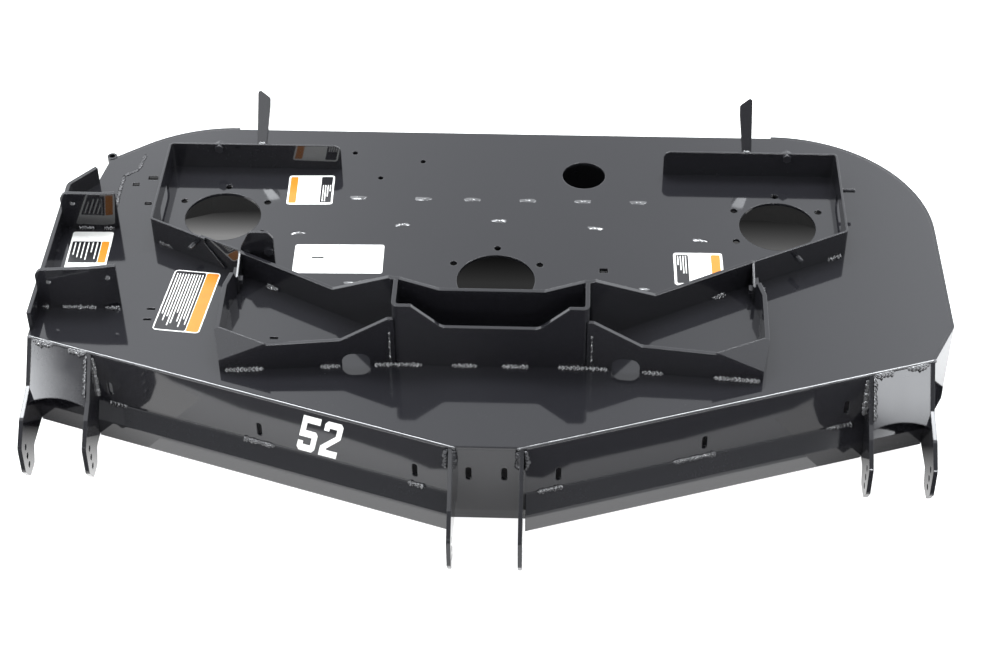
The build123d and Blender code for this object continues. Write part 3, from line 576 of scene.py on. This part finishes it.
def plate_seam():
    """Low ropy bead along the seam of the left rear corner, with a leg on the plate to each side of it."""
    line = [np.array([x, y, PLATE_SEAM_Z]) for x, y in PLATE_SEAM]
    rows = []
    for start, end in zip(line[:-1], line[1:]):
        across = np.cross(UP, unit(end - start))
        lift = PLATE_SEAM_LIFT * UP
        rows.append((start, end, lift + across, lift - across, PLATE_SEAM_LEG))
    make_beads("welds_plate_seam", rows, coat_sheet)


HINGE_STITCHES = [(REAR_HINGE_Y, [(-664.0, -634.0), (-622.0, -604.0)]),
                  (FRONT_HINGE_Y, [(-681.0, -670.0), (-652.0, -598.0), (-586.0, -562.0)])]
TAB_LEG = 3.0


def small_welds():
    """Stitches at the feet of the hinge plates and at the lift tabs."""
    rows = []
    for y, spans in HINGE_STITCHES:
        for x0, x1 in spans:
            rows.append(((x0, y, 0.0), (x1, y, 0.0), UP, FORWARD))
    make_beads("welds_hinge_plates", rows)
    rows = []
    lean = math.radians(TAB_LEAN)
    tab_up = np.array([0.0, math.sin(lean), math.cos(lean)])
    for x0, x1 in TAB_SPANS:
        start = (x0, REAR_BOX_BACK_Y, WALL_TOP)
        end = (x1, REAR_BOX_BACK_Y, WALL_TOP)
        rows.append((start, end, tab_up, FORWARD, TAB_LEG))
    make_beads("welds_lift_tabs", rows)


# plug welds: x, y, turn, half length and half width of each, and the height of a row

PLUG_RING = 24
PLUG_ROWS = 6
PLUG_SUNK = 0.15
PLUG_SHIFT = 1.3
PLUG_CLOSING = 0.98
PLUG_BLUNT = (0.6, 0.8)
PLUG_WOBBLE = ((0.07, 3.0, 1.0), (0.05, 5.0, 2.0))
PLUG_LUMP = (0.12, 4.0)
CENTRE_PLUGS = ((-224.0, -13.5, 0.0, 9.0, 4.0), (226.0, -15.3, 0.0, 9.0, 4.0))
FRONT_PLUG_HALF = (13.0, 4.6)
FRONT_PLUG_HEIGHT = 2.0
REAR_PLUG_HALF = (15.0, 5.0)
REAR_PLUG_HEIGHT = 0.8


def plug(x0, y0, turn, half_length, half_width, height, seed):
    """Low mound of weld over a rib tab: a stadium outline scaled inwards ring by ring, rising as a sine."""
    inward = np.linspace(0.0, 1.0, PLUG_ROWS)[:, None]
    angle = full_turn(PLUG_RING)
    wobble = 1.0 + sum(a * np.sin(b * angle + c * seed) for a, b, c in PLUG_WOBBLE)
    lump = 1.0 + PLUG_LUMP[0] * np.sin(PLUG_LUMP[1] * angle + seed)
    reach = (1.0 - PLUG_CLOSING * inward) * wobble
    x = half_length * reach * np.sign(np.cos(angle)) * np.abs(np.cos(angle)) ** PLUG_BLUNT[0]
    y = half_width * reach * np.sign(np.sin(angle)) * np.abs(np.sin(angle)) ** PLUG_BLUNT[1]
    z = height * np.sin(0.5 * math.pi * inward) * lump - PLUG_SUNK
    c = math.cos(turn)
    s = math.sin(turn)
    return np.stack([x0 + c * x - s * y, y0 + s * x + c * y, z], axis=-1).reshape(-1, 3)


def make_plugs(name, plugs, height):
    """One piece from plug welds of one height."""
    points = []
    faces = []
    count = 0
    for index, place in enumerate(plugs):
        mound = plug(*place, height, PLUG_SHIFT * index)
        faces += tube_faces(mound, PLUG_ROWS, PLUG_RING, count)
        points.append(mound)
        count += len(mound)
    make_piece(name, np.concatenate(points), faces, [coat_weld])


def plug_welds():
    """Weld over the two holes beside the centre and over the rib tabs, flatter along the rear rib."""
    front = list(CENTRE_PLUGS)
    for x, y, degrees in FRONT_RIB_TABS:
        front.append((x, y, math.radians(degrees), *FRONT_PLUG_HALF))
    make_plugs("plug_welds_front", front, FRONT_PLUG_HEIGHT)
    rear = [(x, REAR_RIB_Y, 0.0, *REAR_PLUG_HALF) for x in REAR_RIB_TABS]
    make_plugs("plug_welds_rear", rear, REAR_PLUG_HEIGHT)


# printed film

FILM_FOOT = 0.02
FILM_T = 0.22
PRINT_T = 0.05


def rounded(width, height, radius, steps=6):
    """Outline of a rectangle about its middle with quarter-circle corners, counter-clockwise."""
    angle = np.linspace(0.0, 0.5 * math.pi, steps)
    corners = []
    for k, (sx, sy) in enumerate([(1, 1), (-1, 1), (-1, -1), (1, -1)]):
        centre = np.array([sx * (width / 2.0 - radius), sy * (height / 2.0 - radius)])
        arc = np.stack([np.cos(angle + k * 0.5 * math.pi), np.sin(angle + k * 0.5 * math.pi)], axis=-1)
        corners.append(centre + radius * arc)
    return np.concatenate(corners)


def slab(outline, low, high, count):
    """Points and faces of a flat prism over an outline in the plane, between two heights."""
    n = len(outline)
    bottom = np.column_stack([outline, np.full(n, low)])
    top = np.column_stack([outline, np.full(n, high)])
    k = np.arange(n)
    sides = np.stack([k, (k + 1) % n, n + (k + 1) % n, n + k], axis=-1) + count
    ends = [list(range(count + n - 1, count - 1, -1)), list(range(count + n, count + 2 * n))]
    return np.concatenate([bottom, top]), ends + sides.tolist()


def make_film(name, layers, origin, across, up):
    """Film on a flat face, from layers of an outline and a material, the first on the face, the others on it.

    origin is the middle on the face, across and up are directions along it, and their cross product stands
    off it.
    """
    across = unit(across)
    normal = unit(np.cross(across, up))
    up = np.cross(normal, across)
    points = []
    faces = []
    owners = []
    materials = []
    count = 0
    for index, (outline, material) in enumerate(layers):
        low = FILM_FOOT if index == 0 else FILM_T
        high = FILM_T + PRINT_T * index
        flat, cells = slab(outline, low, high, count)
        if material not in materials:
            materials.append(material)
        points.append(np.asarray(origin) + flat[:, :1] * across + flat[:, 1:2] * up + flat[:, 2:] * normal)
        faces += cells
        owners += [materials.index(material)] * len(cells)
        count += len(flat)
    make_piece(name, np.concatenate(points), faces, materials, owners, smooth=False)


def field(x0, y0, x1, y1, radius):
    """Rectangular field of a print between two corners, with slightly round corners."""
    return rounded(x1 - x0, y1 - y0, radius, 3) + np.array([(x0 + x1) / 2.0, (y0 + y1) / 2.0])


BAR_RADIUS = 0.3


def bars(x0, x1, top, thick, lengths):
    """Thin upright white bars of a print that hang from one height, side by side from x0 to x1."""
    made = []
    for k, length in enumerate(lengths):
        x = x0 + (x1 - x0) * (k + 0.5) / len(lengths)
        made.append((field(x - thick / 2.0, top - length, x + thick / 2.0, top, BAR_RADIUS), white_film))
    return made


# each sticker: name, middle, degrees turned, then width, height and corner radius, then plain fields (corners
# and radius, film), then a row of bars (x from and to, top, thickness, lengths) or nothing
STICKERS = [
    ("sticker_left_front", (-464.7, -63.2), -6.0, (72.0, 140.0, 6.0),
     [((-34.0, -68.0, 14.0, 68.0, 3.0), black_film), ((15.0, -68.0, 34.0, 68.0, 3.0), orange_film)],
     (-32.0, 12.0, 62.0, 1.7, (95.0, 110.0, 100.0, 120.0, 115.0, 90.0, 110.0, 122.0, 104.0, 116.0))),
    ("sticker_left_rear", (-305.9, 216.7), 1.8, (73.6, 76.0, 5.0),
     [((-34.0, -34.0, -22.0, 34.0, 2.0), orange_film), ((16.0, -33.0, 34.0, 34.0, 2.0), black_film)],
     (18.0, 33.0, 12.0, 1.6, (42.0, 42.0, 30.0, 16.0))),
    ("sticker_left_wide", (-245.0, 43.7), 1.2, (138.6, 69.6, 4.0),
     [((-1.0, -34.0, 0.6, 34.0, 0.3), grey_film), ((-42.0, 1.0, -23.0, 4.5, 0.8), black_film)],
     ()),
    ("sticker_right", (310.4, 35.6), 0.6875, (75.5, 77.5, 5.0),
     [((-34.0, -34.0, -15.0, 34.0, 2.0), black_film), ((20.0, -34.0, 34.0, 34.0, 2.0), orange_film)],
     (-33.0, -17.0, 31.0, 1.6, (22.0, 34.0, 42.0, 42.0))),
    ("sticker_discharge", (-634.9, 52.8), 1.1458, (64.0, 92.0, 4.0),
     [((-29.0, -30.0, 16.0, 22.0, 2.0), black_film), ((17.0, -30.0, 29.0, 22.0, 2.0), orange_film)],
     (-27.0, 14.0, 19.0, 1.8, (30.0, 36.0, 38.0, 42.0, 24.0, 40.0))),
]


def stickers():
    """Blank stickers of the kind such decks carry: white film with plain fields and bars of colour."""
    for name, middle, degrees, shape, fields, row in STICKERS:
        turn = math.radians(degrees)
        layers = [(rounded(*shape), white_film)]
        layers += [(field(*corners), film) for corners, film in fields]
        layers += bars(*row) if row else []
        make_film(name, layers, (*middle, 0.0), (math.cos(turn), math.sin(turn), 0.0), -FORWARD)


# size number on the front, with strokes and cut corners as shares of a figure's cell

NUMBER_HEIGHT = 74.0
NUMBER_WIDTH = 28.0
NUMBER_GAP = 7.0
NUMBER_LEAN = 0.25
NUMBER_X = -242.3
NUMBER_Z = -49.0
STROKE_X = 0.29
STROKE_Y = 0.19
CUT_X = 0.14
CUT_Y = 0.09


def number_outlines():
    """Outlines of the two block figures on a unit cell each, corners cut off."""
    a = STROKE_X
    b = STROKE_Y
    low = 0.5 - b / 2.0
    high = 0.5 + b / 2.0
    five = [(0.0, 1.0), (0.0, low), (1.0 - a, low), (1.0 - a, b), (a, b), (a, 0.28), (0.0, 0.28),
            (0.0, CUT_Y), (CUT_X, 0.0), (1.0 - CUT_X, 0.0), (1.0, CUT_Y), (1.0, 0.5), (1.0 - CUT_X, high),
            (a, high), (a, 1.0 - b), (1.0, 1.0 - b), (1.0, 1.0)]
    two = [(0.0, 0.72), (a, 0.72), (a, 1.0 - b), (1.0 - a, 1.0 - b), (1.0 - a, 0.62), (0.0, 0.27), (0.0, 0.0),
           (1.0, 0.0), (1.0, b), (a + 0.06, b), (a + 0.06, 0.23), (1.0, 0.56), (1.0, 1.0 - CUT_Y),
           (1.0 - CUT_X, 1.0), (CUT_X, 1.0), (0.0, 1.0 - CUT_Y)]
    return {"five": np.array(five), "two": np.array(two)}


def size_number():
    """The cut in inches as two leaning block figures of white film on the left slope of the front."""
    along = unit([1.0, -FRONT_SLOPE, 0.0])
    start = -NUMBER_WIDTH - NUMBER_GAP / 2.0
    for label, cell in number_outlines().items():
        y = (cell[:, 1] - 0.5) * NUMBER_HEIGHT
        x = start + cell[:, 0] * NUMBER_WIDTH + NUMBER_LEAN * y
        outline = np.column_stack([x, y])
        make_film("size_number_" + label, [(outline, white_film)], front_wall(NUMBER_X, NUMBER_Z), along, UP)
        start += NUMBER_WIDTH + NUMBER_GAP


# threaded studs

THREAD_PITCH = 1.25
THREAD_RING = 28
THREAD_ROWS = 10
THREAD_DEPTH = 0.62
THREAD_START = 1.5
THREAD_RUN_OUT = 1.0
TIP_LENGTH = 1.2
TIP_CUT = 1.1
FRONT_STUD_X = {"right": 458.0, "left": 465.0}
FRONT_STUD_Z = 27.0
FRONT_STUD = (4.2, 13.0)
SIDE_STUD_AT = (REAR_BOX_CORNER[0] + BOX_T / 2.0, 196.0, 34.0)
SIDE_STUD = (3.5, 22.0)


def make_stud(name, root, direction, radius, length):
    """Threaded stud in place of a plain one.

    Radius falls from the crest by a triangle wave of (distance / pitch - angle / full turn); the tip is
    chamfered.
    """
    d = unit(direction)
    side = unit(np.cross(d, UP))
    top = np.cross(side, d)
    rows = int(length / THREAD_PITCH * THREAD_ROWS)
    s = np.linspace(0.0, length, rows)[:, None]
    angle = full_turn(THREAD_RING)
    turn = s / THREAD_PITCH - angle / (2.0 * math.pi)
    groove = np.abs(2.0 * (turn - np.floor(turn)) - 1.0)
    cut = np.clip((s - THREAD_START) / THREAD_RUN_OUT, 0.0, 1.0)
    tip = np.clip((length - s) / TIP_LENGTH, 0.0, 1.0)
    r = radius - THREAD_DEPTH * groove * cut
    r = np.minimum(r, radius - TIP_CUT * (1.0 - tip))
    around = (r * np.cos(angle))[..., None] * side + (r * np.sin(angle))[..., None] * top
    skin = (np.asarray(root) + s[..., None] * d + around).reshape(-1, 3)
    return make_piece(name, skin, tube_faces(skin, rows, THREAD_RING, 0), [coat_fastener])


def studs():
    """The three cover studs, each where its node is."""
    wall = unit([REAR_BOX_BEND[0] - REAR_BOX_CORNER[0], REAR_BOX_BEND[1] - REAR_BOX_CORNER[1], 0.0])
    out = np.array([-wall[1], wall[0], 0.0])
    for label, side in reversed(SIDES):
        x = FRONT_STUD_X[label]
        y = REAR_BOX_CORNER[1] + (REAR_BOX_CORNER[0] - x) * wall[1] / -wall[0]
        root = np.array([x, y, FRONT_STUD_Z]) + out * BOX_T / 2.0
        flip = np.array([side, 1.0, 1.0])
        stud = make_stud(label + "_threaded_stud", root * flip, out * flip, *FRONT_STUD)
        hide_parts(label + "_front_stud")
    stud = make_stud("side_threaded_stud", SIDE_STUD_AT, (1.0, 0.0, 0.0), *SIDE_STUD)
    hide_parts("right_side_stud")


# studio, in metres

SHEET_STEP = 0.0001
FLOOR_UNDER = 0.0005
FLOOR_HALF = 9.0
FLOOR_GLOW = 1.0
WORLD_BACK = 1.35
WORLD_FRONT = 0.5
WORLD_SIDES = 0.8
SIDES_FULL = 0.03
FRONT_ENDS = -0.47
BACK_STARTS = -0.33
SKY_TINT = (0.96, 0.985, 1.02, 1.0)
# patches of light: azimuth, elevation, full and outer radius in degrees, and radiance; the arch plates mirror
# the first two, then come a low lamp in front, one that the left lift tab mirrors, and two softboxes behind
GLOWS = [(-55.6, 31.4, 4.2, 4.6, 14.0), (49.9, 39.0, 3.0, 3.9, 9.6), (8.0, 20.0, 4.0, 6.0, 25.0),
         (-11.0, 42.0, 5.0, 7.0, 2.0), (-150.0, 62.0, 8.0, 11.0, 18.5), (150.0, 62.0, 8.0, 11.0, 18.5)]

# plans of the painted reflections, sheets that only the gloss of the paint sees: a dark one in front, which
# the upper front mirrors as a painted dark band, and dimmer ones at the middle and the right
LEFT_DARK_REFLECTION = [(-0.95, -0.26), (-0.665, -0.316), (-0.566, -0.336), (-0.467, -0.353), (-0.38, -0.38),
               (-0.295, -0.407), (-0.204, -0.43), (-0.154, -0.437), (0.0, -0.55), (0.0, -1.8), (-0.95, -1.8)]
RIGHT_DARK_REFLECTION = [(0.0, -0.55), (0.137, -0.433), (0.19, -0.432), (0.275, -0.404), (0.36, -0.376),
                (0.448, -0.353), (0.539, -0.33), (0.615, -0.31), (0.95, -0.24), (0.95, -1.8), (0.0, -1.8)]
MIDDLE_REFLECTION = [(-0.07, -0.40), (0.07, -0.40), (0.07, -1.0), (-0.07, -1.0)]
RIGHT_REFLECTION = [(0.07, -0.43), (0.13, -0.40), (0.62, -0.24), (0.95, -0.10), (0.95, -1.0), (0.07, -1.0)]
# plans of the painted reflections that the nose strips and the ears mirror, glowing sheets that only the
# gloss sees, and the depths between which the painted shade of the ear sheets fades out from the wall
LEFT_LIP_REFLECTION = [(-0.56, -0.2085), (-0.06, -0.3764), (-0.06, -0.4294), (-0.56, -0.2615)]
RIGHT_LIP_REFLECTION = [(0.06, -0.3764), (0.52, -0.222), (0.52, -0.275), (0.06, -0.4294)]
LEFT_EAR_REFLECTION = [(-0.74, -0.33), (-0.53, -0.33), (-0.53, -0.10), (-0.74, -0.10)]
RIGHT_EAR_REFLECTION = [(0.50, -0.33), (0.78, -0.33), (0.78, -0.05), (0.50, -0.05)]
EAR_SHADE_FADE = (-0.17, -0.27)
# plans of the painted shade under the deck, of the glowing sheets that paint the light and shade of the floor
# seen through the holes, and the line of the dark card of painted shade that stands inside the rear skirt
SHADE = [(-0.62, -0.09), (-0.30, -0.20), (0.0, -0.29), (0.30, -0.20), (0.58, -0.10), (0.62, 0.14),
         (0.56, 0.28), (0.46, 0.37), (-0.46, 0.37), (-0.58, 0.27)]
LEFT_HOLE_FLOOR = [(-0.60, 0.26), (-0.37, 0.26), (-0.37, 0.369), (-0.4415, 0.369), (-0.50, 0.361),
                   (-0.557, 0.338), (-0.60, 0.304)]
RIGHT_HOLE_FLOOR = [(0.37, 0.26), (0.60, 0.26), (0.60, 0.304), (0.557, 0.338), (0.50, 0.361),
                    (0.4415, 0.369), (0.37, 0.369)]
CENTRE_HOLE_FLOOR = [(-0.10, 0.17), (0.10, 0.17), (0.10, 0.30), (-0.10, 0.30)]
HOLE_FLOOR_POWER = 2.0
REAR_CARD = [(-0.603, 0.301), (-0.556, 0.3375), (-0.50, 0.36), (-0.4415, 0.368), (0.4415, 0.368),
             (0.50, 0.36), (0.556, 0.3375), (0.603, 0.301), (0.639, 0.254)]
REAR_CARD_TOP = -0.12


def stage_sheet(name, corners, faces, material):
    """Sheet of the studio from its corners in metres and their order round each face."""
    mesh = bpy.data.meshes.new(name)
    mesh.from_pydata(corners, [], faces)
    mesh.materials.append(material)
    sheet = bpy.data.objects.new(name, mesh)
    bpy.context.scene.collection.objects.link(sheet)
    return sheet


def flat_sheet(name, plan, height, material):
    """Level sheet over a plan at one height."""
    return stage_sheet(name, [(x, y, height) for x, y in plan], [list(range(len(plan)))], material)


def upright_card(name, line, low_z, high_z, material):
    """Card standing along a plan line, between two heights."""
    count = len(line)
    corners = [(x, y, low_z) for x, y in line] + [(x, y, high_z) for x, y in line]
    faces = [[i, i + 1, count + i + 1, count + i] for i in range(count - 1)]
    return stage_sheet(name, corners, faces, material)


def mirrored_sheet(name, plan, height, material):
    """Level sheet that only the gloss of the paint sees; what it shows is a painted reflection."""
    sheet = flat_sheet(name, plan, height, material)
    sheet.visible_camera = False
    sheet.visible_diffuse = False
    sheet.visible_shadow = False
    sheet.visible_transmission = False


def studio_floor():
    """Pale glowing floor under the ears, sheets of painted shade that the deck hides, and sheets of painted
    reflection that it mirrors.
    """
    floor_z = EAR_FOOT_Z * MM - FLOOR_UNDER
    level = [floor_z + step * SHEET_STEP for step in range(7)]
    h = FLOOR_HALF
    paper = studio_paper("studio_paper", "#b4b4b4", FLOOR_GLOW)
    flat_sheet("floor", [(-h, -h), (h, -h), (h, h), (-h, h)], level[0], paper)
    # painted shade: a grey sheet under the deck, a dark card inside the rear skirt, and glowing sheets of
    # painted floor light and shade seen through the holes
    flat_sheet("shade", SHADE, level[2], studio_paper("shaded_paper", "#6b6b6b", 0.0))
    shade_card_paper = studio_paper("shade_card_paper", "#161616", 0.017)
    upright_card("rear_shade_card", REAR_CARD, level[0], REAR_CARD_TOP, shade_card_paper)
    for name, plan, dark_y, bright_y, radiance in [
            ("left_hole_floor", LEFT_HOLE_FLOOR, 0.395, 0.30, 0.26),
            ("right_hole_floor", RIGHT_HOLE_FLOOR, 0.41, 0.29, 0.115),
            ("centre_hole_floor", CENTRE_HOLE_FLOOR, 0.30, 0.19, 0.03)]:
        flat_sheet(name, plan, level[4], fading_paper(name, dark_y, bright_y, radiance, HOLE_FLOOR_POWER))
    # painted reflections: sheets that only the gloss sees, dimmer at the middle and the right and dark in
    # front, where the upper front mirrors them as a painted dark band
    mirrored_sheet("middle_reflection", MIDDLE_REFLECTION, level[5], studio_paper("middle_painted_reflection", "#a0a0a0", 0.88))
    mirrored_sheet("right_reflection", RIGHT_REFLECTION, level[2], studio_paper("right_painted_reflection", "#909090", 0.6))
    mirrored_sheet("left_dark_reflection", LEFT_DARK_REFLECTION, level[4], studio_paper("grey_painted_reflection", "#5c5c5c", 0.0))
    mirrored_sheet("right_dark_reflection", RIGHT_DARK_REFLECTION, level[4], studio_paper("dark_painted_reflection", "#2a2a2a", 0.0))
    # painted reflections that the nose strips and the ears mirror; the ear sheets glow less towards the wall,
    # as painted shade
    lip_painted_reflection = studio_paper("lip_painted_reflection", "#808080", 2.45)
    mirrored_sheet("left_lip_reflection", LEFT_LIP_REFLECTION, level[3], lip_painted_reflection)
    mirrored_sheet("right_lip_reflection", RIGHT_LIP_REFLECTION, level[3], lip_painted_reflection)
    for name, plan, radiance in [("left_ear_reflection", LEFT_EAR_REFLECTION, 2.1),
                                 ("right_ear_reflection", RIGHT_EAR_REFLECTION, 1.15)]:
        mirrored_sheet(name, plan, level[6], fading_paper(name, *EAR_SHADE_FADE, radiance, 1.0))


def glow(tree, way, azimuth, elevation, full, none, radiance):
    """Round patch of light in the surroundings, with a smooth rim between two angles from its middle.

    Azimuth is measured from straight ahead of the deck towards its right, all angles in degrees.
    """
    turn = math.radians(azimuth)
    tilt = math.radians(elevation)
    middle = (math.sin(turn) * math.cos(tilt), -math.cos(turn) * math.cos(tilt), math.sin(tilt))
    near = add(tree, "ShaderNodeVectorMath", {"operation": "DOT_PRODUCT"}, {0: way, 1: middle})
    patch = add(tree, "ShaderNodeMapRange", {"interpolation_type": "SMOOTHSTEP"}, {
        "Value": near.outputs["Value"], "From Min": math.cos(math.radians(none)),
        "From Max": math.cos(math.radians(full)), "To Min": 0.0, "To Max": radiance})
    return patch.outputs["Result"]


def studio_light():
    """Surroundings bright behind, brighter still to each side of that and dim in front, with the patches."""
    world = bpy.data.worlds.new("studio")
    bpy.context.scene.world = world
    world.use_nodes = True
    tree = world.node_tree
    tree.nodes.clear()
    way = add(tree, "ShaderNodeTexCoord").outputs["Generated"]
    parts = add(tree, "ShaderNodeSeparateXYZ", None, {0: way})
    x = parts.outputs["X"]
    square = add(tree, "ShaderNodeMath", {"operation": "MULTIPLY"}, {0: x, 1: x}).outputs[0]
    back = add(tree, "ShaderNodeMapRange", None, {
        "Value": square, "From Min": 0.0, "From Max": SIDES_FULL, "To Min": WORLD_BACK,
        "To Max": WORLD_BACK + WORLD_SIDES}).outputs["Result"]
    light = add(tree, "ShaderNodeMapRange", {"interpolation_type": "SMOOTHSTEP"}, {
        "Value": parts.outputs["Y"], "From Min": FRONT_ENDS, "From Max": BACK_STARTS, "To Min": WORLD_FRONT,
        "To Max": back}).outputs["Result"]
    for patch in GLOWS:
        more = glow(tree, way, *patch)
        light = add(tree, "ShaderNodeMath", {"operation": "ADD"}, {0: light, 1: more}).outputs[0]
    sky = add(tree, "ShaderNodeBackground", None, {"Color": SKY_TINT, "Strength": light})
    add(tree, "ShaderNodeOutputWorld", None, {"Surface": sky.outputs[0]})


make_camera()
paint_nodes()
front_welds()
box_welds()
bracket_welds()
arch_welds()
edge_seam()
plate_seam()
small_welds()
plug_welds()
stickers()
size_number()
studs()
studio_floor()
studio_light()

bpy.context.scene.view_settings.view_transform = "Standard"
